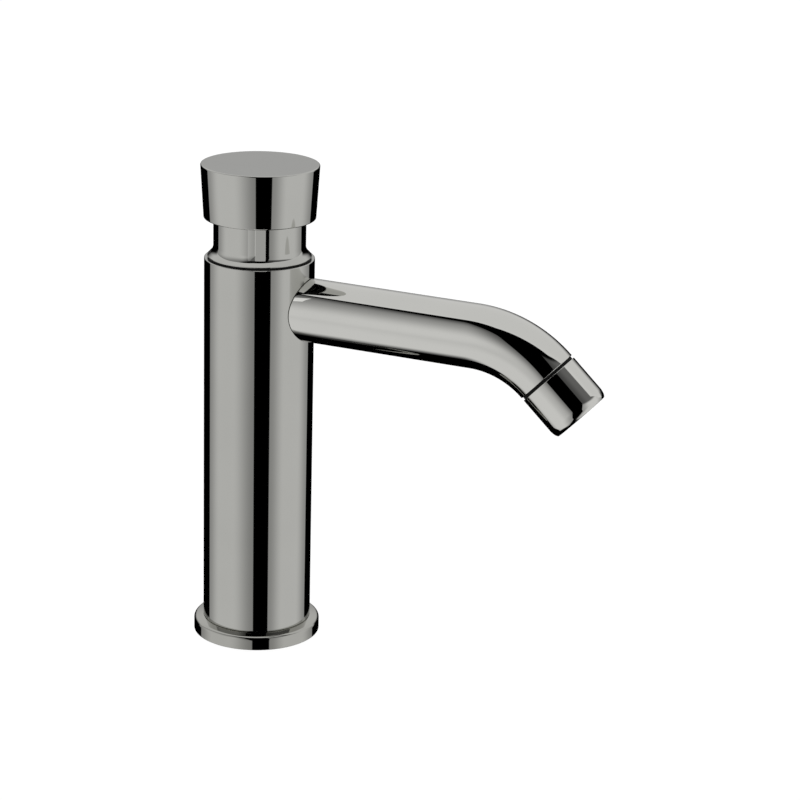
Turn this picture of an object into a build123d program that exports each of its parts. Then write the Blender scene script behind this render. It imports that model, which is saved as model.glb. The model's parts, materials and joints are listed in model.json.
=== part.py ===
from build123d import *
import math
import os

# Push-button basin tap that shuts itself off. One supply enters from below through a threaded
# plug, a spring-loaded cartridge under the cap opens and closes the way to the spout.
# Millimetres. The deck is z = 0, the column stands along +Z and the spout points along +X.

# Fits
slide_fit = 0.05  # radial room of a sliding or seated round piece
piston_room = 0.3  # radial room round the piston, which the lip seal closes
loose_fit = 0.1  # radial room of discs and rings dropped into a recess
overrun = 1.0  # how far a cut runs past what it cuts

# Radii, from the cartridge bore outwards, which add up to a column of 45 across
barrel_bore_r = 9.5
barrel_wall = 2.5
bonnet_wall = 3.0  # bonnet corner to the barrel thread
bonnet_room = 0.5  # bonnet corner to the collar's bore
collar_wall = 2.0
collar_step = 1.3  # collar thread to its visible cylinder
foot_flare = 2.4
thread_wall = 5.0  # column wall round the collar thread
chamber_wall = 7.0  # column wall round the cartridge
supply_wall = 6.5  # column wall round the supply chamber
nose_step = 0.5
plug_step = 1.0

# Column, measured up from the deck
column_height = 161.9
rim_bevel = 0.3
column_foot_bevel = 0.4
spigot_clear = 0.5  # spigot end above the deck

# Base flange and what seals it
flange_overhang = 3.9
flange_rim_height = 5.6
flange_rise = 0.7
flange_edge = 0.6
flange_seat = 2.0
gasket_width = 3.0
gasket_depth = 1.6
gasket_inset = 1.2

# Base plug with the supply thread and the two stud holes
plug_recess = 2.0
plug_length = 20.0
inlet_core_r = 4.46  # core of an M10 x 1 thread
inlet_thread_length = 12.0
inlet_port_r = 3.6
stud_core_r = 2.5  # core of an M6 thread
stud_depth = 12.0
stud_spacing = 24.0
plug_ring_drop = 4.0  # seal groove below the plug's top
strainer_r = 6.0
strainer_seat = 2.0
strainer_height = 13.0
strainer_wall = 0.6
strainer_slots = 8
strainer_slot_width = 1.6

# Spout
spout_r = 13.0
spout_wall = 1.8
spout_drop = 19.1  # column rim down to the spout axis at the column axis
spout_tilt = 1.4  # degrees below level
spout_straight = 93.35
spout_bend_r = 45.7
spout_bend = 42.6  # degrees
root_ring_length = 12.0
root_groove_width = 0.35  # relief round the outside of the joint with the column
root_groove_depth = 0.6
seam_bevel = 0.2  # on both edges of the seam with the aerator housing

# Nipple that carries the spout on the column
nipple_r = 8.0
nipple_wall = 1.8
nipple_step_depth = 1.0
nipple_reach = 10.0

# Aerator at the outlet, measured along the outlet axis from the end of the bend
housing_length = 20.8
housing_gap = 1.2  # seam between the spout's end and the housing
seam_ring_inset = 0.7
housing_wall = 2.0
housing_edge = 1.4
outlet_spigot = 8.0
outlet_wall = 1.8
outlet_neck = 4.0  # how far the narrow outlet bore reaches back into the bend
washer_thickness = 1.5
insert_step = 0.5  # thread to the bore that holds the insert
outlet_lip = 1.6
outlet_lip_width = 1.1
lip_edge = 0.4
cage_wall = 1.2
cage_ledge = 0.6
grid_thickness = 3.0
grid_pitch = 2.1
grid_web = 0.35
mixer_drop = 3.0
mixer_thickness = 1.2
mixer_jets = 12
mixer_jet_r = 0.55
mixer_jet_circle = 6.3
mixer_cone_height = 2.2
mixer_cone_r = 4.2
screen_thickness = 0.5
screen_hole_r = 0.9
screen_rings = 2

# Cartridge, measured down and up from the ledge that carries it
ledge_land = 1.2
chamber_depth = 32.0
diaphragm = 14.0
shoulder_gasket_thickness = 0.8
shoulder_thickness = 2.0
barrel_head = 11.2
bonnet_skirt_gap = 3.2
bonnet_gasket_thickness = 0.8
bonnet_plate = 6.0
window_land = 1.5
window_height = 8.0
window_width = 6.0
window_count = 6
mid_floor = 3.0
seat_length = 6.0
seat_hole_r = 6.0
seat_lip_height = 0.8
seat_lip_width = 1.2

# Moving train, along the stem
travel = 7.0
stop_gap = 0.3
stem_r = 3.0
stem_step = 0.5
stem_flat = 0.5  # depth of each flat on the lower stem
stem_tail_r = 1.75
stem_tail_end = 0.8
stem_thread_length = 11.0
stem_thread_relief = 1.0
piston_headroom = 3.5
piston_thickness = 3.5
lip_base = 1.5
lip_height = 3.0
lip_width = 1.2
circlip_thickness = 0.8
circlip_width = 1.6
circlip_depth = 0.4
circlip_gap = 2.5
valve_plate_r = 4.0
valve_plate_thickness = 1.2
valve_washer_thickness = 3.0
valve_washer_overlap = 0.8
valve_disc_thickness = 3.0
valve_disc_rim = 1.0
valve_disc_rim_height = 1.2
valve_nut_across = 7.0
valve_nut_thickness = 3.0
bleed_r = 0.4
bleed_depth = 1.2
bleed_tail = 2.0

# Return spring under the piston
spring_wire_r = 0.6
spring_inset = 2.5
spring_turns = 6
spring_end_gap = 0.45  # between the closed turns at each end

# Push cap and the collar it slides over
neck_show = 16.55
neck_headroom = 1.3
foot_height = 3.8
neck_gasket_thickness = 0.7  # between the foot and the column's rim
cap_height = 22.05
cap_top = 4.5
cap_gap = 0.7
cap_wall = 3.25
cap_flare = 1.35
cap_edge = 0.5
boss_r = 5.5

# Ring seals
ring_section = 1.3
ring_groove_room = 0.25
stem_ring_section = 1.2

# Radii worked out from the bore outwards
barrel_r = barrel_bore_r + barrel_wall
bonnet_r = barrel_r + bonnet_wall
collar_bore_r = bonnet_r + bonnet_room
thread_r = collar_bore_r + collar_wall
neck_r = thread_r + collar_step
foot_r = neck_r + foot_flare
column_r = thread_r + thread_wall
chamber_r = column_r - chamber_wall
supply_r = column_r - supply_wall
nose_r = barrel_r + nose_step
plug_r = supply_r + plug_step
spigot_r = column_r - flange_seat
flange_r = column_r + flange_overhang
outlet_thread_r = spout_r - housing_wall
insert_r = outlet_thread_r - insert_step
lip_r = insert_r - outlet_lip_width
cap_bore_r = neck_r + cap_gap
cap_low_r = cap_bore_r + cap_wall
cap_top_r = cap_low_r + cap_flare
rod_r = stem_r - stem_step
spring_r = barrel_bore_r - spring_inset
circlip_r = rod_r + circlip_width - circlip_depth
bleed_circle = (circlip_r + spring_r - spring_wire_r) / 2
valve_washer_r = seat_hole_r + seat_lip_width + valve_washer_overlap

# Heights worked out from the deck up and from the rim down
flange_top = flange_rim_height + flange_rise
plug_top = plug_recess + plug_length
spout_z = column_height - spout_drop
ledge_z = spout_z + nipple_r + ledge_land
chamber_floor = ledge_z - chamber_depth
barrel_low = chamber_floor - diaphragm
shoulder_low = ledge_z + shoulder_gasket_thickness
shoulder_top = shoulder_low + shoulder_thickness
barrel_top = shoulder_top + barrel_head
window_low = chamber_floor + window_land
window_top = window_low + window_height
mid_floor_low = window_top + window_land
timing_floor = mid_floor_low + mid_floor
bonnet_seat = barrel_top + bonnet_gasket_thickness
bonnet_top = bonnet_seat + bonnet_plate
cap_low = column_height + neck_show
cap_high = cap_low + cap_height
ceiling = cap_high - cap_top
boss_low = bonnet_top + travel + stop_gap
neck_top = ceiling - travel - neck_headroom
lip_low = barrel_top - piston_headroom - lip_height
piston_low = lip_low - piston_thickness
stem_shoulder = lip_low + lip_base
seat_z = barrel_low - seat_lip_height
plate_top = seat_z + valve_plate_thickness
washer_low = seat_z - valve_washer_thickness
disc_low = washer_low - valve_disc_thickness
nut_low = disc_low - valve_nut_thickness

# The spout's centre line, in the plane y = 0
tilt = math.radians(spout_tilt)
fall = math.radians(spout_tilt + spout_bend)
bend_start_x = spout_straight * math.cos(tilt)
bend_start_z = spout_z - spout_straight * math.sin(tilt)
bend_centre_x = bend_start_x - spout_bend_r * math.sin(tilt)
bend_centre_z = bend_start_z - spout_bend_r * math.cos(tilt)
outlet_x = bend_centre_x + spout_bend_r * math.sin(fall)
outlet_z = bend_centre_z + spout_bend_r * math.cos(fall)
spout_axis = Plane(origin=(0, 0, spout_z), x_dir=(0, 1, 0), z_dir=(math.cos(tilt), 0, -math.sin(tilt)))
outlet_axis = Plane(
    origin=(outlet_x, 0, outlet_z), x_dir=(0, 1, 0), z_dir=(math.cos(fall), 0, -math.sin(fall))
)
bend_axis = Axis((bend_centre_x, 0, bend_centre_z), (0, 1, 0))


def turned(*outline):
    """A solid turned about Z from a closed outline of (radius, height) points."""
    return revolve(make_face(Polyline(*[(r, 0, z) for r, z in outline], close=True)), axis=Axis.Z)


def ring(outer_r, inner_r, low, high):
    """A plain ring between two heights."""
    return turned((inner_r, low), (outer_r, low), (outer_r, high), (inner_r, high))


def rod(radius, low, high):
    """A plain round bar on Z between two heights."""
    return Pos(0, 0, low) * Cylinder(radius, high - low, align=(Align.CENTER, Align.CENTER, Align.MIN))


def seal_ring(inner_r, section, middle):
    """A round-section seal, pressed flat where it meets the groove floor and the bore."""
    flat, full, bulge = section * 0.3, section * 0.5, section * 0.2
    outer_r = inner_r + section
    return turned(
        (inner_r, middle - flat),
        (inner_r + bulge, middle - full),
        (outer_r - bulge, middle - full),
        (outer_r, middle - flat),
        (outer_r, middle + flat),
        (outer_r - bulge, middle + full),
        (inner_r + bulge, middle + full),
        (inner_r, middle + flat),
    )


def seal_groove(outer_r, section, middle):
    """The groove that a seal of this section needs in a shaft of this radius."""
    half = section / 2 + ring_groove_room
    return ring(outer_r + overrun, outer_r - section, middle - half, middle + half)


def soften(solid, radius, height, size):
    """Rounds the circular edge of this radius at this height."""
    rims = [
        edge
        for edge in solid.edges().filter_by(GeomType.CIRCLE)
        if abs(edge.radius - radius) < 1e-4 and abs(edge.center().Z - height) < 1e-4
    ]
    return fillet(rims, size)


def hexagon(across, low, high):
    """A hexagonal bar, given across its corners' circle."""
    return Pos(0, 0, low) * extrude(RegularPolygon(across / 2, 6), high - low)


def make_column():
    """Turned body: supply chamber below, cartridge chamber above, a ported wall between."""
    body = turned(
        (nose_r + slide_fit, barrel_low),
        (supply_r, barrel_low),
        (supply_r, plug_top),
        (plug_r, plug_top),
        (plug_r, spigot_clear),
        (spigot_r, spigot_clear),
        (spigot_r, flange_top),
        (column_r - column_foot_bevel, flange_top),
        (column_r, flange_top + column_foot_bevel),
        (column_r, column_height - rim_bevel),
        (column_r - rim_bevel, column_height),
        (thread_r, column_height),
        (thread_r, ledge_z),
        (chamber_r, ledge_z),
        (chamber_r, chamber_floor),
        (nose_r + slide_fit, chamber_floor),
    )
    step = chamber_r + nipple_step_depth
    port = extrude(spout_axis * Circle(nipple_r - nipple_wall), column_r)
    socket = extrude(spout_axis.offset(step) * Circle(nipple_r), column_r - step + overrun)
    groove = seal_groove(spigot_r, ring_section, flange_top / 2)
    return body - port - socket - groove


def make_base_flange():
    """Round foot whose top rises slightly to the column."""
    gasket_outer = flange_r - gasket_inset
    gasket_inner = gasket_outer - gasket_width
    bore = spigot_r + slide_fit
    foot = turned(
        (bore, 0),
        (gasket_inner, 0),
        (gasket_inner, gasket_depth),
        (gasket_outer, gasket_depth),
        (gasket_outer, 0),
        (flange_r, 0),
        (flange_r, flange_rim_height),
        (column_r, flange_top),
        (bore, flange_top),
    )
    return soften(foot, flange_r, flange_rim_height, flange_edge)


def make_base_gasket():
    """Flat rubber ring in the flange's underside, level with the deck."""
    outer = flange_r - gasket_inset
    return ring(outer, outer - gasket_width, 0, gasket_depth)


def make_base_plug():
    """Threaded plug that closes the supply chamber and takes the hose and the studs."""
    thread_top = plug_recess + inlet_thread_length
    body = turned(
        (inlet_core_r, plug_recess),
        (plug_r, plug_recess),
        (plug_r, plug_top),
        (strainer_r, plug_top),
        (strainer_r, plug_top - strainer_seat),
        (inlet_port_r, plug_top - strainer_seat),
        (inlet_port_r, thread_top),
        (inlet_core_r, thread_top),
    )
    for side in (-1, 1):
        body -= Pos(0, side * stud_spacing / 2, 0) * rod(stud_core_r, plug_recess, plug_recess + stud_depth)
    return body - seal_groove(plug_r, ring_section, plug_top - plug_ring_drop)


def make_inlet_strainer():
    """Slotted cup that keeps grit out of the cartridge."""
    low = plug_top - strainer_seat
    high = low + strainer_height
    inner = strainer_r - strainer_wall
    cup = turned(
        (inlet_port_r, low),
        (strainer_r, low),
        (strainer_r, high - strainer_wall),
        (inner, high),
        (0, high),
        (0, high - strainer_wall),
        (inner, high - strainer_wall),
        (inner, low + strainer_wall),
        (inlet_port_r, low + strainer_wall),
    )
    slot_low = plug_top + 2 * strainer_wall
    slot_height = high - 3 * strainer_wall - slot_low
    slot = Pos(strainer_r, 0, slot_low) * Box(
        strainer_r, strainer_slot_width, slot_height, align=(Align.CENTER, Align.CENTER, Align.MIN)
    )
    for turn in range(strainer_slots):
        cup -= Rot(0, 0, turn * 360 / strainer_slots) * slot
    return cup


def make_spout():
    """Bent tube, cut to the column's curve at its root and threaded for the aerator at its end."""
    bore = spout_r - spout_wall
    root = column_r + root_ring_length
    tube = extrude(spout_axis * Circle(spout_r), spout_straight)
    tube += revolve(spout_axis.offset(spout_straight) * Circle(spout_r), bend_axis, spout_bend)
    tube -= rod(column_r, outlet_z - spout_r, column_height)
    relief = rod(column_r + root_groove_width, outlet_z - spout_r, column_height)
    tube -= relief - extrude(spout_axis * Circle(spout_r - root_groove_depth), root)
    tube = soften_outlet(tube)
    tube += extrude(outlet_axis * Circle(outlet_thread_r), outlet_spigot)
    narrow_turn = math.degrees(outlet_neck / spout_bend_r)
    way = extrude(spout_axis.offset(root) * Circle(bore), spout_straight - root)
    way += revolve(spout_axis.offset(spout_straight) * Circle(bore), bend_axis, spout_bend - narrow_turn)
    outlet_bore = outlet_thread_r - outlet_wall
    way += extrude(outlet_axis.offset(-outlet_neck) * Circle(outlet_bore), outlet_neck + outlet_spigot)
    socket = extrude(spout_axis * Circle(nipple_r + slide_fit), root)
    return tube - way - socket


def soften_outlet(tube):
    """Bevels the tube's far edge, one half of the seam with the aerator housing."""
    rims = tube.edges().filter_by(GeomType.CIRCLE)
    end = rims.sort_by(lambda edge: (edge.center() - outlet_axis.origin).length)[0]
    return chamfer(end, seam_bevel)


def make_spout_nipple():
    """Brass bush between column and spout, with a groove for its seal."""
    start = chamber_r + nipple_step_depth
    end = column_r + nipple_reach
    bush = ring(nipple_r, nipple_r - nipple_wall, start, end)
    return spout_axis * (bush - seal_groove(nipple_r, ring_section, nipple_ring_place()))


def nipple_ring_place():
    """Middle of the nipple's seal, halfway along the stretch inside the spout."""
    return column_r + nipple_reach / 2 + ring_section


def make_aerator_housing():
    """Outer sleeve of the outlet, screwed on the spout, with a lip that holds the insert."""
    sleeve = turned(
        (outlet_thread_r, housing_gap),
        (spout_r - seam_bevel, housing_gap),
        (spout_r, housing_gap + seam_bevel),
        (spout_r, housing_length),
        (lip_r + lip_edge, housing_length),
        (lip_r, housing_length - lip_edge),
        (lip_r, insert_end()),
        (insert_r, insert_end()),
        (insert_r, insert_start()),
        (outlet_thread_r, insert_start()),
    )
    return outlet_axis * soften(sleeve, spout_r, housing_length, housing_edge)


def make_seam_ring():
    """Black rubber ring that shows in the seam between the spout's end and the housing."""
    return outlet_axis * ring(spout_r - seam_ring_inset, outlet_thread_r + slide_fit, 0, housing_gap)


def insert_start():
    """Where the insert begins, under its washer."""
    return outlet_spigot + washer_thickness


def insert_end():
    """Where the insert rests on the housing's lip."""
    return housing_length - outlet_lip


def cage_r():
    """Outside radius of the insert's cage and grid."""
    return insert_r - loose_fit


def make_aerator_washer():
    """Rubber ring between the spout's end and the insert."""
    return outlet_axis * ring(cage_r(), outlet_thread_r - outlet_wall, outlet_spigot, insert_start())


def grid_places(limit):
    """Centres of a honeycomb's cells that lie inside a circle of this radius."""
    rows = int(limit / grid_pitch) + 2
    for row in range(-rows, rows + 1):
        for column in range(-rows, rows + 1):
            x = grid_pitch * (column + row % 2 / 2)
            y = grid_pitch * row * math.sqrt(3) / 2
            if math.hypot(x, y) <= limit:
                yield x, y


def make_aerator_grid():
    """Honeycomb disc at the insert's mouth, which straightens the jet."""
    cell_r = (grid_pitch - grid_web) / math.sqrt(3)
    cell = Rot(0, 0, 30) * RegularPolygon(cell_r, 6)
    start = insert_end() - grid_thickness
    cells = [Pos(x, y, start - overrun) * cell for x, y in grid_places(lip_r - cell_r - grid_web)]
    grid = rod(cage_r(), start, insert_end()) - extrude(Sketch() + cells, grid_thickness + 2 * overrun)
    return outlet_axis * grid


def make_aerator_cage():
    """Sleeve that holds the screen and the mixer above the honeycomb."""
    low, high = insert_start(), insert_end() - grid_thickness
    inner = cage_r() - cage_wall
    ledge = low + mixer_drop + mixer_thickness
    sleeve = turned(
        (inner, low),
        (cage_r(), low),
        (cage_r(), high),
        (inner - cage_ledge, high),
        (inner - cage_ledge, ledge),
        (inner, ledge),
    )
    return outlet_axis * sleeve


def make_aerator_mixer():
    """Disc with a ring of fine jets round a cone that spreads the water."""
    low = insert_start() + mixer_drop
    high = low + mixer_thickness
    outer = cage_r() - cage_wall - slide_fit
    disc = turned(
        (0, low - mixer_cone_height),
        (mixer_cone_r, low),
        (outer, low),
        (outer, high),
        (0, high),
    )
    jet = Pos(mixer_jet_circle, 0, 0) * rod(mixer_jet_r, low - overrun, high + overrun)
    for turn in range(mixer_jets):
        disc -= Rot(0, 0, turn * 360 / mixer_jets) * jet
    return outlet_axis * disc


def make_aerator_screen():
    """Perforated disc at the top of the insert, pinched under the washer."""
    low = insert_start()
    disc = rod(cage_r() - cage_wall - slide_fit, low, low + screen_thickness)
    hole = rod(screen_hole_r, low - overrun, low + screen_thickness + overrun)
    pitch = (cage_r() - cage_wall - 2 * screen_hole_r) / screen_rings
    for rank in range(1, screen_rings + 1):
        for turn in range(6 * rank):
            disc -= Rot(0, 0, turn * 60 / rank) * Pos(rank * pitch, 0, 0) * hole
    return outlet_axis * disc


def make_cartridge_barrel():
    """Cartridge body: flow chamber with side windows below, timing cylinder above."""
    body = turned(
        (barrel_bore_r, barrel_low),
        (nose_r, barrel_low),
        (nose_r, chamber_floor),
        (barrel_r, chamber_floor),
        (barrel_r, shoulder_low),
        (thread_r - loose_fit, shoulder_low),
        (thread_r - loose_fit, shoulder_top),
        (barrel_r, shoulder_top),
        (barrel_r, barrel_top),
        (barrel_bore_r, barrel_top),
        (barrel_bore_r, timing_floor),
        (0, timing_floor),
        (0, mid_floor_low),
        (barrel_bore_r, mid_floor_low),
    )
    window = Pos(barrel_r, 0, window_low) * Box(
        barrel_r, window_width, window_height, align=(Align.CENTER, Align.CENTER, Align.MIN)
    )
    for turn in range(window_count):
        body -= Rot(0, 0, turn * 360 / window_count) * window
    guide = flatted_bar(rod_r + slide_fit, rod_r - stem_flat + slide_fit, mid_floor_low, timing_floor)
    return body - guide - seal_groove(nose_r, ring_section, barrel_low + diaphragm / 2)


def flatted_bar(radius, flat_place, low, high):
    """A round bar with two flats, each this far from the axis."""
    bar = rod(radius, low, high)
    slab = Pos(0, 0, low) * Box(
        3 * radius, 2 * flat_place, high - low, align=(Align.CENTER, Align.CENTER, Align.MIN)
    )
    return bar & slab


def make_valve_seat():
    """Brass ring screwed into the barrel's nose, with a raised lip for the rubber washer."""
    lip_outer = seat_hole_r + seat_lip_width
    return turned(
        (seat_hole_r, seat_z),
        (lip_outer, seat_z),
        (lip_outer, barrel_low),
        (barrel_bore_r, barrel_low),
        (barrel_bore_r, barrel_low + seat_length),
        (seat_hole_r, barrel_low + seat_length),
    )


def make_neck_collar():
    """Visible neck: a coned foot on the column's rim and a threaded skirt that clamps the barrel."""
    foot_low = column_height + neck_gasket_thickness
    return turned(
        (collar_bore_r, shoulder_top),
        (thread_r, shoulder_top),
        (thread_r, foot_low),
        (foot_r, foot_low),
        (neck_r, column_height + foot_height),
        (neck_r, neck_top),
        (collar_bore_r, neck_top),
    )


def make_neck_gasket():
    """Black rubber ring that shows between the neck's foot and the column's rim."""
    gasket_top = column_height + neck_gasket_thickness
    return ring(foot_r - loose_fit, thread_r + loose_fit, column_height, gasket_top)


def make_bonnet_nut():
    """Hexagon cap nut of the cartridge, with the stem's guide bore and seal gland."""
    skirt_low = shoulder_top + bonnet_skirt_gap
    nut = hexagon(2 * bonnet_r, skirt_low, bonnet_top)
    nut -= rod(barrel_r, skirt_low, bonnet_seat)
    nut -= rod(stem_r + slide_fit, bonnet_seat, bonnet_top)
    half = stem_ring_section / 2 + ring_groove_room
    nut -= rod(stem_r + slide_fit + stem_ring_section, gland_middle() - half, gland_middle() + half)
    return nut - Pos(bleed_circle, 0, 0) * rod(bleed_r, bonnet_seat, bonnet_seat + bleed_depth)


def gland_middle():
    """Height of the stem's seal in the bonnet."""
    return bonnet_seat + bonnet_plate / 2


def make_bleed_pin():
    """Thin pin hung from the bonnet through the piston, which keeps the bleed hole clean."""
    low = piston_low - travel - bleed_tail
    return Pos(bleed_circle, 0, 0) * rod(bleed_r, low, bonnet_seat + bleed_depth)


def make_stem():
    """Steel rod from the valve up to the cap, with flats that stop it turning."""
    thread_end = boss_low + stem_thread_length
    bar = flatted_bar(rod_r, rod_r - stem_flat, plate_top, timing_floor + travel + mid_floor)
    bar += rod(stem_tail_r, nut_low - stem_tail_end, plate_top)
    bar += rod(rod_r, timing_floor + travel + mid_floor, stem_shoulder)
    bar += rod(stem_r, stem_shoulder, boss_low)
    bar += rod(rod_r, boss_low, thread_end)
    return bar - ring(stem_r + overrun, rod_r - circlip_depth, piston_low - circlip_thickness, piston_low)


def make_piston():
    """Disc that works in the timing cylinder."""
    disc = ring(barrel_bore_r - piston_room, rod_r, piston_low, lip_low)
    return disc - bleed_hole(piston_low, lip_low)


def bleed_hole(low, high):
    """The hole that the bleed pin slides in."""
    return Pos(bleed_circle, 0, 0) * rod(bleed_r + loose_fit, low - overrun, high + overrun)


def make_lip_seal():
    """Rubber cup that holds water above the piston while the tap runs."""
    outer = barrel_bore_r - slide_fit
    cup = turned(
        (rod_r, lip_low),
        (outer - piston_room, lip_low),
        (outer, lip_low + lip_height),
        (outer - lip_width, lip_low + lip_height),
        (outer - piston_room - lip_width, lip_low + lip_base),
        (rod_r, lip_low + lip_base),
    )
    return cup - bleed_hole(lip_low, lip_low + lip_height)


def make_piston_circlip():
    """Open spring ring in the stem's groove, under the piston."""
    clip = ring(circlip_r, rod_r - circlip_depth, piston_low - circlip_thickness, piston_low)
    opening = Pos(-circlip_r, 0, piston_low - circlip_thickness) * Box(
        2 * circlip_r, circlip_gap, circlip_thickness, align=(Align.CENTER, Align.CENTER, Align.MIN)
    )
    return clip - opening


def make_return_spring():
    """Compression spring between the timing floor and the piston, with closed and ground ends."""
    end_pitch = 2 * spring_wire_r + spring_end_gap
    pitch = (piston_low - timing_floor - 2 * end_pitch) / (spring_turns - 2)
    climbs = [end_pitch / 2] * 2 + [pitch / 2] * 2 * (spring_turns - 2) + [end_pitch / 2] * 2
    slopes = climbs[:1] + [(before + after) / 2 for before, after in zip(climbs, climbs[1:])] + climbs[-1:]
    points, directions = [], []
    for half_turn, slope in enumerate(slopes):
        side = 1 if half_turn % 2 == 0 else -1
        points.append(Vector(side * spring_r, 0, timing_floor + sum(climbs[:half_turn])))
        directions.append(Vector(0, side, slope / (math.pi * spring_r)).normalized())
    arcs = []
    for half_turn in range(len(climbs)):
        ends = slice(half_turn, half_turn + 2)
        arcs += tangent_arcs(*points[ends], *directions[ends])
    coil = sweep(Plane(origin=points[0], z_dir=directions[0]) * Circle(spring_wire_r), path=Wire(arcs))
    return coil & rod(barrel_bore_r, timing_floor, piston_low)


def tangent_arcs(start, end, leaving, arriving):
    """Two arcs between two points, with the given directions there and one direction where they meet."""
    across = end - start
    along = across.dot(leaving + arriving)
    spread = 2 - 2 * leaving.dot(arriving)
    reach = (math.sqrt(along**2 + spread * across.dot(across)) - along) / spread
    first, second = start + leaving * reach, end - arriving * reach
    middle = (first + second) / 2
    return [TangentArc(start, middle, tangent=leaving), TangentArc(middle, end, tangent=second - first)]


def make_valve_plate():
    """Small plate that backs the rubber washer where it meets the stem."""
    return ring(valve_plate_r, stem_tail_r, seat_z, plate_top)


def make_valve_washer():
    """Rubber washer that shuts against the seat's lip."""
    return ring(valve_washer_r, stem_tail_r, washer_low, seat_z)


def make_valve_disc():
    """Brass cup that carries the rubber washer."""
    outer = valve_washer_r + valve_disc_rim
    return turned(
        (stem_tail_r, disc_low),
        (outer, disc_low),
        (outer, washer_low + valve_disc_rim_height),
        (valve_washer_r, washer_low + valve_disc_rim_height),
        (valve_washer_r, washer_low),
        (stem_tail_r, washer_low),
    )


def make_valve_nut():
    """Nut under the valve disc."""
    across_corners = valve_nut_across / math.cos(math.pi / 6)
    return hexagon(across_corners, nut_low, disc_low) - rod(stem_tail_r, nut_low, disc_low)


def make_push_cap():
    """Button: an upturned cone with a flat top, bored to slide over the neck."""
    bore_high = boss_low + stem_thread_length + stem_thread_relief
    cap = turned(
        (cap_bore_r, cap_low),
        (cap_low_r, cap_low),
        (cap_top_r, cap_high),
        (0, cap_high),
        (0, bore_high),
        (rod_r, bore_high),
        (rod_r, boss_low),
        (boss_r, boss_low),
        (boss_r, ceiling),
        (cap_bore_r, ceiling),
    )
    return soften(soften(cap, cap_low_r, cap_low, cap_edge), cap_top_r, cap_high, cap_edge)


def make_spout_ring():
    """Seal between the nipple and the spout's root ring."""
    return spout_axis * seal_ring(nipple_r - ring_section, ring_section, nipple_ring_place())


pieces = {
    "column": make_column(),
    "base_flange": make_base_flange(),
    "base_gasket": make_base_gasket(),
    "flange_o_ring": seal_ring(spigot_r - ring_section, ring_section, flange_top / 2),
    "base_plug": make_base_plug(),
    "plug_o_ring": seal_ring(plug_r - ring_section, ring_section, plug_top - plug_ring_drop),
    "inlet_strainer": make_inlet_strainer(),
    "spout": make_spout(),
    "spout_nipple": make_spout_nipple(),
    "nipple_o_ring": make_spout_ring(),
    "aerator_housing": make_aerator_housing(),
    "seam_ring": make_seam_ring(),
    "aerator_washer": make_aerator_washer(),
    "aerator_cage": make_aerator_cage(),
    "aerator_grid": make_aerator_grid(),
    "aerator_mixer": make_aerator_mixer(),
    "aerator_screen": make_aerator_screen(),
    "cartridge_barrel": make_cartridge_barrel(),
    "barrel_o_ring": seal_ring(nose_r - ring_section, ring_section, barrel_low + diaphragm / 2),
    "shoulder_gasket": ring(thread_r - loose_fit, chamber_r, ledge_z, shoulder_low),
    "valve_seat": make_valve_seat(),
    "neck_collar": make_neck_collar(),
    "neck_gasket": make_neck_gasket(),
    "bonnet_nut": make_bonnet_nut(),
    "bonnet_gasket": ring(barrel_r, barrel_bore_r, barrel_top, bonnet_seat),
    "stem_o_ring": seal_ring(stem_r + slide_fit, stem_ring_section, gland_middle()),
    "bleed_pin": make_bleed_pin(),
    "return_spring": make_return_spring(),
    "stem": make_stem(),
    "piston": make_piston(),
    "lip_seal": make_lip_seal(),
    "piston_circlip": make_piston_circlip(),
    "valve_plate": make_valve_plate(),
    "valve_washer": make_valve_washer(),
    "valve_disc": make_valve_disc(),
    "valve_nut": make_valve_nut(),
    "push_cap": make_push_cap(),
}

os.makedirs("parts", exist_ok=True)
for name, solid in pieces.items():
    export_step(solid, f"parts/{name}.step")
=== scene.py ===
import json
import math

import bmesh
import bpy
import numpy as np
from mathutils import Matrix, Vector


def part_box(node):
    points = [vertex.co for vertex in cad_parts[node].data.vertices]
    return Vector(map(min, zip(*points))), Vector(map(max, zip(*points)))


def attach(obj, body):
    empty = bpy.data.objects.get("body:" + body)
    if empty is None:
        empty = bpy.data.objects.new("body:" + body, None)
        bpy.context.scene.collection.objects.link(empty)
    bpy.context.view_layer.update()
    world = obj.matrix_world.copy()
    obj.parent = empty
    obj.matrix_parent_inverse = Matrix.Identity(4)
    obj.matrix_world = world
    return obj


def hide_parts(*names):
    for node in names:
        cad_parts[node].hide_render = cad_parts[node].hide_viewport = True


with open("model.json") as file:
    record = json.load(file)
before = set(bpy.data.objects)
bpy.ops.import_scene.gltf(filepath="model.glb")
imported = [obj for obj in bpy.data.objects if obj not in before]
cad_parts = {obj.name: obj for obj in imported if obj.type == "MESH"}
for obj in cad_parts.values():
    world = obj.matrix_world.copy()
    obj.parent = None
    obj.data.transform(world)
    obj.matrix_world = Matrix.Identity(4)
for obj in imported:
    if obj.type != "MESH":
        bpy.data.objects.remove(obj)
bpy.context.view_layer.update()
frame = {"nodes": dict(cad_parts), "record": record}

# Units
mm = 0.001
to_degrees = 180 / math.pi

# Camera: where it stands round the tap, and how far it is turned from facing the middle of the column
camera_azimuth = math.radians(24.05)
camera_height = math.radians(17.9)
camera_distance = 1036.72 * mm
camera_aim = 100 * mm
camera_turn = math.radians(-3.4)
camera_dip = math.radians(-0.1)
camera_roll = math.radians(1.52)
photo_width = 800
focal_pixels = 2503.5

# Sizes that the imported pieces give
column_low, column_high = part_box("column")
flange_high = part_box("base_flange")[1]
collar_low, collar_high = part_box("neck_collar")
cap_low, cap_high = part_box("push_cap")
spout_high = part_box("spout")[1]
column_r = column_high.x
rim_z = column_high.z
flange_r = flange_high.x
flange_top = flange_high.z
foot_r = collar_high.x
spout_r = spout_high.y

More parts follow.
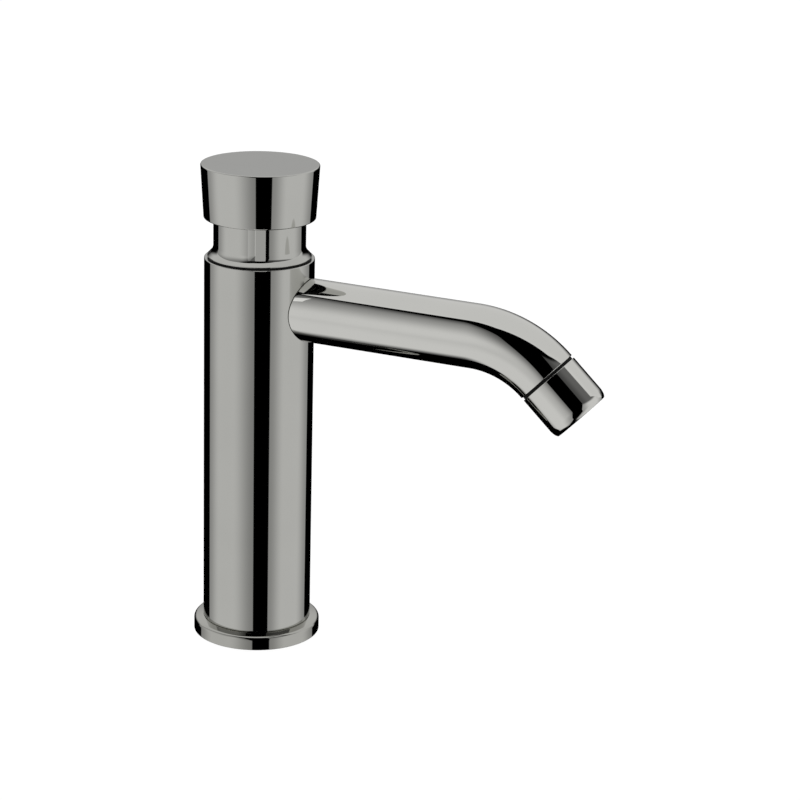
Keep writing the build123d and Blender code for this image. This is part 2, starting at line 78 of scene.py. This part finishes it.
# Column and flange
chamber_r = column_r - 7 * mm
supply_r = column_r - 6.5 * mm
spigot_r = column_r - 2 * mm
thread_r = column_r - 5 * mm
plug_r = supply_r + 1 * mm
nose_bore_r = 12.55 * mm
plug_top = 22 * mm
ledge_z = 152 * mm
chamber_floor = 120 * mm
barrel_low = 106 * mm
column_foot_bevel = 0.4 * mm
rim_rounding = 0.3 * mm
flange_rim = 5.6 * mm
flange_rounding = 1.5 * mm
flange_low_rounding = 0.15 * mm
flange_bore_r = spigot_r + 0.05 * mm
gasket_outer = flange_r - 1.2 * mm
gasket_inner = gasket_outer - 3 * mm
gasket_depth = 1.6 * mm

# Neck collar and cap
neck_r = thread_r + 1.3 * mm
neck_edge = 0.2 * mm
collar_bore_r = thread_r - 2 * mm
foot_height = 3.49 * mm
foot_lip = 0.3 * mm
foot_fillet = 4 * mm
neck_gasket_top = rim_z + 0.7 * mm
cap_bore_r = neck_r + 0.7 * mm
cap_low_r = cap_bore_r + 3.25 * mm
cap_top_r = cap_low_r + 1.35 * mm
cap_edge = 0.5 * mm
cap_bore_edge = 0.3 * mm
cap_ceiling = cap_high.z - 4.5 * mm
boss_r = 5.5 * mm
boss_edge = 0.2 * mm
boss_fillet = 0.3 * mm
boss_low = 180.1 * mm
boss_bore_r = 2.5 * mm
boss_bore_top = boss_low + 12 * mm

# Spout and aerator housing, along the spout's centre line from the column's axis
spout_z = rim_z - 19.1 * mm
spout_tilt = math.radians(1.4)
spout_straight = 93.35 * mm
spout_bend_r = 45.7 * mm
spout_bend = math.radians(42.6)
spout_end = spout_straight + spout_bend_r * spout_bend
spout_bore_r = spout_r - 1.8 * mm
root_ring_end = column_r + 12 * mm
root_groove_width = 0.35 * mm
root_groove_r = spout_r - 0.6 * mm
nipple_r = 8.05 * mm
spigot_end = spout_end + 8 * mm
spigot_edge = 0.2 * mm
spigot_thread_r = spout_r - 2 * mm
spigot_bore_r = spigot_thread_r - 1.8 * mm
narrow_start = spout_end - 4 * mm
seam_bevel = 0.2 * mm
housing_start = spout_end + 1.2 * mm
housing_end = spout_end + 20.8 * mm
housing_tip_r = spout_r - 1.1 * mm
housing_edge = 0.5 * mm
insert_r = spigot_thread_r - 0.5 * mm
insert_start = spout_end + 9.5 * mm
lip_r = insert_r - 1.1 * mm
lip_start = housing_end - 1.6 * mm
lip_edge = 0.4 * mm

# Where the outlet sleeve is drawn in: how far before its end, by how much, and the rounding there
housing_ease = [(3.0 * mm, 0, 8 * mm), (1.1 * mm, 0.4 * mm, 2.5 * mm)]

# Fineness of the modelled surfaces
round_steps = 256
corner_steps = 6
corner_margin = 0.03 * mm
ring_spacing = 1.6 * mm
fine_edge = 0.1 * mm
same_place = 0.0001 * mm

# Studio. Its angles are degrees round the tap from the photo's side, to the right, and degrees above level.
# A pair says where a change starts and ends, and a third number how much of the light it takes
studio_light = 0.81

# The dark gap between its walls: its left side at level, how that leans with height and curls over at the top
gap_left = -14
gap_lean = 0.27
gap_curl = 0.1
gap_curl_start = 40
gap_left_edge = (-1, 0.6)
gap_right_edge = (22.8, 24.4)

# The left wall near the gap, low down and raised, then the right wall
left_near = (-47, 3)
left_near_loss = 0.56
left_raised = (-18, 8)
left_raised_loss = 0.16
left_raised_narrowing = 0.8
left_upward = (5, 55, 0.6)
right_near = (24, 56)
right_near_light = 0.52
right_upward = (27, 38, 0.8)
right_top = (47, 51)
right_foot = (-46, -36)

# Both walls' far ends, which draw in low down, and their feet
far_middle = 1
far_fade = (90, 124, 0.45)
far_end = (123.6, 125.4)
far_draw_in = 1.2
far_draw_in_start = -40
wall_foot = (-70, -57)

# The panel overhead. Its edges are (slope, turn to the right), and its light behind rises (from, to, share)
panel_light = 0.97
panel_edges = [(2.25, math.radians(-37)), (2.35, math.radians(-5)), (1.45, math.radians(30))]
panel_edge_width = (-0.02, 0.02)
panel_edge_glow = (-0.3, 0)
panel_edge_gain = 0.05
panel_foot = (-6, -1)
panel_dimmed = (120, 130)
panel_behind = (160, 174)
panel_rise = (2, 24)
panel_rise_behind = [(-5, 0, 0.55), (6, 27, 0.45)]

# Lamps by the neck: how far out and how high, then each lamp's ends, in degrees round, and its light
lamp_r = 30 * mm
lamp_heights = (162 * mm, 175.2 * mm)
lamps = [(-20, -7.9, 0.18), (-7.9, 10, 0.6)]

# Floor: half its width in metres, its tone, and the light and share of white that the camera sees on it
floor_reach = 4.0
floor_tone = (0.95, 0.95, 0.95, 1)
floor_glow = 1.12
floor_glow_share = 0.85

# Chrome: its clouds and wiping marks a metre, its roughness, and the painted shade, near black and rough,
# inside hollows and on the underside, with the width of its edges
chrome_spread = 0.05
chrome_clouds = 28
chrome_wiping = 420
chrome_wiping_detail = 5
chrome_roughness = 0.02
wiping_roughness = 0.02
painted_shade_tone = (0.02, 0.02, 0.02, 1)
painted_shade_roughness = 0.5
painted_shade_edge = 0.2 * mm
painted_shade_low_edge = 0.1 * mm

# Turned metal: how dark and light its tone gets, its clouds and haze a metre, and its tool lines
metal_dark = 0.86
metal_light = 1.1
metal_clouds = 90
metal_haze = 300
metal_haze_roughness = 0.1
line_distortion = 1.5
line_detail = 2.0
line_bump = (0.15, 0.02 * mm)

# Rubber and plastic: clouds a metre, and a grain
moulded_clouds = 150
grain_detail = 6
grain_roughness = 0.12
grain_bump = (0.3, 0.03 * mm)


def unit(vectors):
    """Vectors divided by their lengths."""
    return vectors / np.linalg.norm(vectors, axis=-1, keepdims=True)


def rounded(corners):
    """A closed outline whose corners are arcs. A corner is (first, second, rounding), or has a fine edge.

    With unit vectors a and b towards a corner's neighbours, and h half the angle between them, the arc's
    centre lies rounding / sin h from the corner along a + b, and the arc touches both sides rounding / tan h
    from the corner. One more point on each side, just past the arc, keeps the straight stretches straight
    when they are shaded.
    """
    corners = np.array([(*corner, fine_edge)[:3] for corner in corners], float)
    place, rounding = corners[:, None, :2], corners[:, None, 2:]
    before = unit(np.roll(place, 1, 0) - place)
    after = unit(np.roll(place, -1, 0) - place)
    half = np.arccos(np.clip((before * after).sum(-1, keepdims=True), -1, 1)) / 2
    touch = rounding / np.tan(half)
    centre = place + unit(before + after) * rounding / np.sin(half)
    start, stop = place + before * touch - centre, place + after * touch - centre
    turn = math.pi - 2 * half
    along = np.linspace(0, 1, corner_steps + 1)[None, :, None]
    arc = centre + (start * np.sin((1 - along) * turn) + stop * np.sin(along * turn)) / np.sin(turn)
    margin = touch + corner_margin
    return np.concatenate([place + before * margin, arc, place + after * margin], 1).reshape(-1, 2)


def divided(outline):
    """The closed outline with every side cut into equal parts no longer than the ring spacing."""
    ends = np.roll(outline, -1, 0)
    parts = np.ceil(np.linalg.norm(ends - outline, axis=1) / ring_spacing).astype(int).clip(1)
    side = np.repeat(np.arange(len(outline)), parts)
    step = np.arange(len(side)) - np.repeat(np.cumsum(parts) - parts, parts)
    share = (step / parts[side])[:, None]
    return outline[side] * (1 - share) + ends[side] * share


def all_round():
    """The angles of a full turn."""
    return np.linspace(0, 2 * math.pi, round_steps, endpoint=False)[None, :]


def turned(outline):
    """An outline of (radius, height) turned about Z: x = r cos a, y = r sin a, z = height."""
    radius, height = outline[:, 0, None], outline[:, 1, None]
    angle = all_round()
    return np.stack([radius * np.cos(angle), radius * np.sin(angle), height + 0 * angle], -1)


def along_spout(outline, root=0):
    """An outline of (distance, radius) carried round the spout's centre line.

    The line runs straight down the tilt, then round the bend, then straight on. With t the tilt at a
    distance, u = (cos t, 0, -sin t) points along it and n = (sin t, 0, cos t) up from it. The bend's points
    are its start + R (n - n at the start), and a surface point is that + r (n cos a + y sin a). Each point's
    distance grows by its share in root of where a line at its angle and radius meets the column:
    (sqrt(column_r^2 - r^2 sin^2 a) - r cos a sin tilt) / cos tilt.
    """
    distance, radius = outline[:, 0, None], outline[:, 1, None]
    angle = all_round()
    up, aside = radius * np.cos(angle), radius * np.sin(angle)
    sin_tilt, cos_tilt = math.sin(spout_tilt), math.cos(spout_tilt)
    meets = (np.sqrt(column_r**2 - aside**2) - up * sin_tilt) / cos_tilt
    distance = distance + np.reshape(root, (-1, 1)) * meets
    bent = np.clip((distance - spout_straight) / spout_bend_r, 0, spout_bend)
    fall = spout_tilt + bent
    first = np.minimum(distance, spout_straight)
    last = np.maximum(distance - spout_end, 0)
    end_fall = spout_tilt + spout_bend
    x = first * cos_tilt + spout_bend_r * (np.sin(fall) - sin_tilt) + last * math.cos(end_fall)
    z = -first * sin_tilt + spout_bend_r * (np.cos(fall) - cos_tilt) - last * math.sin(end_fall)
    return np.stack([x + up * np.sin(fall), aside, spout_z + z + up * np.cos(fall)], -1)


def skin(name, grid):
    """A closed skin over a grid of points whose rows and columns both run round, with its faces outward.

    A face joins each point to the next in its row and in its column. The sum of a . (b x c) over the faces'
    halves is six times the volume, so a negative sum turns every face round.
    """
    number = np.arange(grid.shape[0] * grid.shape[1]).reshape(grid.shape[:2])
    beyond = np.roll(number, -1, 0)
    faces = np.stack([number, np.roll(number, -1, 1), np.roll(beyond, -1, 1), beyond], -1).reshape(-1, 4)
    points = grid.reshape(-1, 3)
    a, b, c, d = points[faces.T]
    if (a * (np.cross(b, c) + np.cross(c, d))).sum() < 0:
        faces = faces[:, ::-1]
    mesh = bpy.data.meshes.new(name)
    mesh.from_pydata(points.tolist(), [], faces.tolist())
    merge_doubles(mesh)
    mesh.shade_smooth()
    return shown(name, mesh)


def merge_doubles(mesh):
    """Closes seams and poles by merging points that share a place."""
    work = bmesh.new()
    work.from_mesh(mesh)
    bmesh.ops.remove_doubles(work, verts=work.verts, dist=same_place)
    work.to_mesh(mesh)
    work.free()


def shown(name, data):
    """A new object with this data, in the scene."""
    made = bpy.data.objects.new(name, data)
    bpy.context.scene.collection.objects.link(made)
    return made


class Value:
    """A node socket whose arithmetic adds Math nodes to its tree."""

    def __init__(self, tree, socket):
        self.tree, self.socket = tree, socket

    def __add__(self, other):
        return self.tree.math("ADD", self, other)

    def __radd__(self, other):
        return self.tree.math("ADD", other, self)

    def __sub__(self, other):
        return self.tree.math("SUBTRACT", self, other)

    def __rsub__(self, other):
        return self.tree.math("SUBTRACT", other, self)

    def __mul__(self, other):
        return self.tree.math("MULTIPLY", self, other)

    def __rmul__(self, other):
        return self.tree.math("MULTIPLY", other, self)

    def soft(self, low, high):
        """0 at or before low, 1 at or past high, and an S curve between."""
        return self.tree.node(
            "ShaderNodeMapRange",
            {"interpolation_type": "SMOOTHSTEP"},
            {"Value": self, "From Min": low, "From Max": high},
        )

    def fade(self, low, high, loss=1):
        """1 at or before low, less by the loss at or past high, and an S curve between."""
        return 1 - loss * self.soft(low, high)


class Tree:
    """Makes the nodes of one material or world."""

    def __init__(self, owner):
        owner.use_nodes = True
        self.nodes, self.links = owner.node_tree.nodes, owner.node_tree.links
        self.nodes.clear()

    def node(self, kind, settings=None, sockets=None, output=0):
        """A node of this type, its settings first, then its sockets' values or links. Gives one output."""
        made = self.nodes.new(kind)
        for name, value in (settings or {}).items():
            setattr(made, name, value)
        for name, value in (sockets or {}).items():
            if isinstance(value, Value):
                self.links.new(value.socket, made.inputs[name])
            else:
                made.inputs[name].default_value = value
        return Value(self, made.outputs[output]) if len(made.outputs) else made

    def math(self, operation, *values):
        """A Math node over these values."""
        return self.node("ShaderNodeMath", {"operation": operation}, dict(enumerate(values)))

    def split(self, vector):
        """A vector's three parts."""
        return [self.node("ShaderNodeSeparateXYZ", {}, {0: vector}, axis) for axis in range(3)]

    def noise(self, place, per_metre, detail=3.0):
        """Even noise of this many features a metre, about 0 to 1."""
        return self.node("ShaderNodeTexNoise", {}, {"Vector": place, "Scale": per_metre, "Detail": detail})

    def mix_colour(self, share, first, second):
        """A colour between two by a share. Sockets 6 and 7 and output 2 are the Mix node's colours."""
        return self.node("ShaderNodeMix", {"data_type": "RGBA"}, {"Factor": share, 6: first, 7: second}, 2)

    def bump(self, height, strength, distance):
        """A normal tilted by this height."""
        return self.node("ShaderNodeBump", {}, {"Strength": strength, "Distance": distance, "Height": height})


def facing(azimuth, height):
    """The unit vector from the tap to something at this azimuth, from -Y towards +X, and this height."""
    level = math.cos(height)
    return Vector((math.sin(azimuth) * level, -math.cos(azimuth) * level, math.sin(height)))


def placed(right, above, back, place):
    """The matrix of a camera or lamp with these axes, which faces away from back, at this place."""
    matrix = Matrix((right, above, back)).transposed().to_4x4()
    matrix.translation = place
    return matrix


def add_camera():
    """The camera at the photo's place. Its axes are turned from facing the tap, then rolled."""
    place = Vector((0, 0, camera_aim)) + facing(camera_azimuth, camera_height) * camera_distance
    azimuth = camera_azimuth + camera_turn
    back = facing(azimuth, camera_height + camera_dip)
    right = Vector((math.cos(azimuth), math.sin(azimuth), 0))
    above = back.cross(right)
    rolled = right * math.cos(camera_roll) + above * math.sin(camera_roll)
    above = above * math.cos(camera_roll) - right * math.sin(camera_roll)
    data = bpy.data.cameras.new("camera")
    data.sensor_width = 36
    data.lens = data.sensor_width * focal_pixels / photo_width
    camera = shown("camera", data)
    camera.matrix_world = placed(rolled, above, back, place)
    bpy.context.scene.camera = camera


def light_studio():
    """The studio as a world: white to the camera, and soft walls and a panel overhead to everything else."""
    world = bpy.data.worlds.new("studio")
    bpy.context.scene.world = world
    tree = Tree(world)
    x, y, z = tree.split(tree.node("ShaderNodeTexCoord", output="Generated"))
    ahead = x * math.sin(camera_azimuth) - y * math.cos(camera_azimuth)
    aside = x * math.cos(camera_azimuth) + y * math.sin(camera_azimuth)
    around = tree.math("ARCTAN2", aside, ahead) * to_degrees
    above = tree.math("ARCSINE", z) * to_degrees

    # The gap, where the camera stands
    curl = tree.math("MAXIMUM", above - gap_curl_start, 0)
    from_gap = around - gap_left + gap_lean * above + gap_curl * curl * curl

    # Left wall: dimmer towards the gap, most where it is raised, and upwards
    raised = above.soft(*left_raised)
    near_gap = (from_gap * (1 + left_raised_narrowing * raised)).soft(*left_near)
    near_light = 1 - (left_near_loss + left_raised_loss * raised) * near_gap
    left_wall = from_gap.fade(*gap_left_edge) * near_light * above.fade(*left_upward)

    # Right wall: dimmer towards the gap and upwards, and it ends under the panel
    near_light = right_near_light + (1 - right_near_light) * around.soft(*right_near)
    right_wall = around.soft(*gap_right_edge) * near_light * above.fade(*right_upward)
    right_wall = right_wall * above.fade(*right_top) * above.soft(*right_foot)

    # Both walls fade towards their far ends and their feet
    far_round = tree.math("ABSOLUTE", around - far_middle)
    low = tree.math("MAXIMUM", far_draw_in_start - above, 0)
    ends = far_round.fade(*far_fade) * (far_round + far_draw_in * low).fade(*far_end)
    walls = (left_wall + right_wall) * ends * above.soft(*wall_foot)

    # The panel: everything above its slanting edges, down to the horizon behind
    highest, *others = [
        ahead * (slope * math.cos(turn)) + aside * (slope * math.sin(turn)) for slope, turn in panel_edges
    ]
    for edge in others:
        highest = tree.math("MAXIMUM", highest, edge)
    below_edge = highest - z
    behind = far_round.soft(*panel_behind)
    rise_behind = sum(share * above.soft(low, high) for low, high, share in panel_rise_behind)
    rise = above.soft(*panel_rise) * (1 - behind) + rise_behind * behind
    overhead = panel_light + panel_edge_gain * below_edge.soft(*panel_edge_glow)
    overhead = overhead - panel_light * far_round.soft(*panel_dimmed) * (1 - rise)
    panel = below_edge.fade(*panel_edge_width) * above.soft(*panel_foot)
    light = studio_light * (walls * (1 - panel) + overhead * panel)

    seen = tree.node("ShaderNodeLightPath", output="Is Camera Ray")
    background = tree.node("ShaderNodeBackground", {}, {"Color": light * (1 - seen) + seen})
    tree.node("ShaderNodeOutputWorld", {}, {"Surface": background})


def hang_lamp(first, last, light):
    """A small flat lamp by the neck, which only the metal's reflections show.

    It stands upright and faces the column's axis. Its power is pi x its area x the light that it shows.
    """
    half = math.radians(last - first) / 2
    back = facing(camera_azimuth + math.radians(first + last) / 2, 0)
    above = Vector((0, 0, 1))
    low, high = lamp_heights
    data = bpy.data.lights.new("neck_lamp", "AREA")
    data.shape = "RECTANGLE"
    data.size, data.size_y = 2 * lamp_r * math.sin(half), high - low
    data.energy = math.pi * data.size * data.size_y * light
    lamp = shown("neck_lamp", data)
    place = back * lamp_r * math.cos(half) + above * (low + high) / 2
    lamp.matrix_world = placed(above.cross(back), above, back, place)
    lamp.visible_camera = False
    lamp.visible_diffuse = False


def lay_floor():
    """A plain white floor. It isn't in the metal's reflections, and it keeps a faint shadow of the tap."""
    corners = [(x * floor_reach, y * floor_reach, 0) for x, y in ((-1, -1), (1, -1), (1, 1), (-1, 1))]
    mesh = bpy.data.meshes.new("floor")
    mesh.from_pydata(corners, [], [(0, 1, 2, 3)])
    floor = shown("floor", mesh)
    material, tree = material_tree("white_floor")
    seen = tree.node("ShaderNodeLightPath", output="Is Camera Ray")
    matt = tree.node("ShaderNodeBsdfDiffuse", {}, {"Color": floor_tone})
    white = tree.node("ShaderNodeEmission", {}, {"Color": (1, 1, 1, 1), "Strength": floor_glow})
    mixed = tree.node("ShaderNodeMixShader", {}, {"Fac": seen * floor_glow_share, 1: matt, 2: white})
    tree.node("ShaderNodeOutputMaterial", {}, {"Surface": mixed})
    mesh.materials.append(material)
    floor.visible_glossy = False
    floor.visible_transmission = False


def material_tree(name):
    """A new material and its tree."""
    material = bpy.data.materials.new(name)
    return material, Tree(material)


def place_on(tree):
    """Object coordinates, which are metres in the tap's own frame."""
    return tree.node("ShaderNodeTexCoord", output="Object")


def shade(tone, share):
    """The tone times a share, no lighter than white."""
    return tuple(min(part * share, 1) for part in tone) + (1,)


def finish_material(tree, **sockets):
    """One Principled shader with these sockets."""
    named = {name.replace("_", " "): value for name, value in sockets.items()}
    shader = tree.node("ShaderNodeBsdfPrincipled", {}, named)
    tree.node("ShaderNodeOutputMaterial", {}, {"Surface": shader})


def polished_chrome(name, tone, painted_shade_r=0, painted_shade_top=0, painted_shade_low=0):
    """Polished grey chrome: a mirror with a faint cloud in its tone and a little haze from wiping.

    It has painted shade, near black and rough, within a radius of the column's axis up to one height, and all
    below another.
    """
    material, tree = material_tree(name)
    place = place_on(tree)
    cloud = tree.noise(place, chrome_clouds)
    wiping = tree.noise(place, chrome_wiping, chrome_wiping_detail)
    chrome = tree.mix_colour(cloud, shade(tone, 1 - chrome_spread), shade(tone, 1 + chrome_spread))
    x, y, z = tree.split(place)
    # Painted shade: near black inside the hollow below the top height, and everywhere below the low height
    past_r = tree.math("SQRT", x * x + y * y).soft(painted_shade_r, painted_shade_r + painted_shade_edge)
    past_top = z.soft(painted_shade_top, painted_shade_top + painted_shade_edge)
    painted_shade = 1 - tree.math("MAXIMUM", past_r, past_top) * z.soft(painted_shade_low, painted_shade_low + painted_shade_low_edge)
    finish_material(
        tree,
        Base_Color=tree.mix_colour(painted_shade, chrome, painted_shade_tone),
        Metallic=1.0,
        Roughness=chrome_roughness + wiping_roughness * wiping + painted_shade_roughness * painted_shade,
    )
    return material


def turned_metal(name, tone, roughness, lines_per_metre):
    """Turned metal with fine tool lines across its axis and a slightly uneven tone."""
    material, tree = material_tree(name)
    place = place_on(tree)
    cloud = tree.noise(place, metal_clouds)
    lines = tree.node(
        "ShaderNodeTexWave",
        {"wave_type": "BANDS", "bands_direction": "Z"},
        {"Vector": place, "Scale": lines_per_metre, "Distortion": line_distortion, "Detail": line_detail},
        "Fac",
    )
    finish_material(
        tree,
        Base_Color=tree.mix_colour(cloud, shade(tone, metal_dark), shade(tone, metal_light)),
        Metallic=1.0,
        Roughness=roughness + metal_haze_roughness * tree.noise(place, metal_haze),
        Normal=tree.bump(lines, *line_bump),
    )
    return material


def moulded(name, tone, roughness, grain_per_metre, spread, shine):
    """Moulded rubber or plastic: a fine grain, and a tone that varies by the given share."""
    material, tree = material_tree(name)
    place = place_on(tree)
    cloud = tree.noise(place, moulded_clouds)
    grain = tree.noise(place, grain_per_metre, grain_detail)
    finish_material(
        tree,
        Base_Color=tree.mix_colour(cloud, shade(tone, 1 - spread), shade(tone, 1 + spread)),
        Roughness=roughness + grain_roughness * grain,
        Specular_IOR_Level=shine,
        Normal=tree.bump(grain, *grain_bump),
    )
    return material


def column_outline():
    """The column with its rim, cartridge chamber, supply chamber and spigot, as (radius, height)."""
    return [
        (nose_bore_r, barrel_low),
        (supply_r, barrel_low),
        (supply_r, plug_top),
        (plug_r, plug_top),
        (plug_r, column_low.z),
        (spigot_r, column_low.z),
        (spigot_r, flange_top),
        (column_r - column_foot_bevel, flange_top),
        (column_r, flange_top + column_foot_bevel),
        (column_r, rim_z, rim_rounding),
        (thread_r, rim_z),
        (thread_r, ledge_z),
        (chamber_r, ledge_z),
        (chamber_r, chamber_floor),
        (nose_bore_r, chamber_floor),
    ]


def flange_outline():
    """The round foot: a short side, a shallow cone up to the column and a groove for the gasket."""
    return [
        (flange_bore_r, 0),
        (gasket_inner, 0),
        (gasket_inner, gasket_depth),
        (gasket_outer, gasket_depth),
        (gasket_outer, 0),
        (flange_r, 0, flange_low_rounding),
        (flange_r, flange_rim, flange_rounding),
        (column_r, flange_top),
        (flange_bore_r, flange_top),
    ]


def collar_outline():
    """The neck: a threaded skirt, a coned foot that stands on its gasket, and the plain cylinder."""
    return [
        (collar_bore_r, collar_low.z),
        (thread_r, collar_low.z),
        (thread_r, neck_gasket_top),
        (foot_r, neck_gasket_top),
        (foot_r, neck_gasket_top + foot_lip),
        (neck_r, rim_z + foot_height, foot_fillet),
        (neck_r, collar_high.z, neck_edge),
        (collar_bore_r, collar_high.z, neck_edge),
    ]


def cap_outline():
    """The push cap: an upturned cone with a flat top, hollow below, with a bored boss for the stem."""
    return [
        (cap_bore_r, cap_low.z, cap_bore_edge),
        (cap_low_r, cap_low.z, cap_edge),
        (cap_top_r, cap_high.z, cap_edge),
        (0, cap_high.z, 0),
        (0, boss_bore_top, 0),
        (boss_bore_r, boss_bore_top),
        (boss_bore_r, boss_low),
        (boss_r, boss_low, boss_edge),
        (boss_r, cap_ceiling, boss_fillet),
        (cap_bore_r, cap_ceiling, cap_edge),
    ]


def spout_outline():
    """The bent tube from the groove round its root to its threaded end, as (distance, radius)."""
    return [
        (0, root_groove_r),
        (root_groove_width, root_groove_r),
        (root_groove_width, spout_r),
        (spout_end, spout_r, seam_bevel),
        (spout_end, spigot_thread_r),
        (spigot_end, spigot_thread_r, spigot_edge),
        (spigot_end, spigot_bore_r),
        (narrow_start, spigot_bore_r),
        (narrow_start, spout_bore_r),
        (root_ring_end, spout_bore_r),
        (root_ring_end, nipple_r),
        (0, nipple_r),
    ]


def housing_outline():
    """The outlet sleeve: bevelled at the seam, drawn in to a rounded end, with a lip for the insert."""
    return [
        (housing_start, spout_r, seam_bevel),
        *[(housing_end - before, spout_r - drop, rounding) for before, drop, rounding in housing_ease],
        (housing_end, housing_tip_r, housing_edge),
        (housing_end, lip_r, lip_edge),
        (lip_start, lip_r),
        (lip_start, insert_r),
        (insert_start, insert_r),
        (insert_start, spigot_thread_r),
        (housing_start, spigot_thread_r),
    ]


def spout_grid():
    """The spout's points. Its root follows the column, and the far parts don't, with a share between."""
    outline = divided(rounded(spout_outline()))
    past_groove = outline[:, 0] - root_groove_width
    return along_spout(outline, 1 - np.clip(past_groove / (root_ring_end - root_groove_width), 0, 1))


# Copies of one chrome: the foot's tone is painted darker as painted shade, and the spout's painted lighter as
# painted light
chromes = {
    "body": polished_chrome("grey_chrome", (0.5, 0.5, 0.475)),
    "foot": polished_chrome("chrome_painted_darker", (0.45, 0.448, 0.42)),
    # The cap's chrome is painted near black inside its hollow, as painted shade
    "cap": polished_chrome("cap_chrome", (0.51, 0.51, 0.485), cap_bore_r, cap_ceiling, cap_low.z),
    "spout": polished_chrome("chrome_painted_lighter", (0.65, 0.648, 0.62)),
}
finishes = {
    "brass": turned_metal("turned_brass", (0.72, 0.53, 0.26), 0.24, 900),
    "stainless_steel": turned_metal("bright_steel", (0.6, 0.6, 0.59), 0.2, 1400),
    "black_rubber": moulded("black_rubber", (0.012, 0.012, 0.012), 0.6, 2600, 0.25, 0.12),
    "white_acetal": moulded("white_acetal", (0.82, 0.82, 0.79), 0.32, 1800, 0.03, 0.5),
}

add_camera()
light_studio()
for lamp in lamps:
    hang_lamp(*lamp)
lay_floor()

modelled = {
    "column": (turned(rounded(column_outline())), "tap", "body"),
    "base_flange": (turned(rounded(flange_outline())), "tap", "foot"),
    "neck_collar": (turned(rounded(collar_outline())), "tap", "body"),
    "push_cap": (turned(rounded(cap_outline())), "plunger", "cap"),
    "spout": (spout_grid(), "tap", "spout"),
    "aerator_housing": (along_spout(divided(rounded(housing_outline()))), "tap", "spout"),
}
for node, (grid, body, chrome) in modelled.items():
    piece = skin(f"{node}_skin", grid)
    piece.data.materials.append(chromes[chrome])
    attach(piece, body)
    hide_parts(node)

for part in frame["record"]["subparts"]:
    node, slot = part["node"], part["material_slot"]
    if slot in finishes:
        for holder in frame["nodes"][node].material_slots:
            holder.material = finishes[slot]

bpy.context.scene.view_settings.view_transform = "Standard"
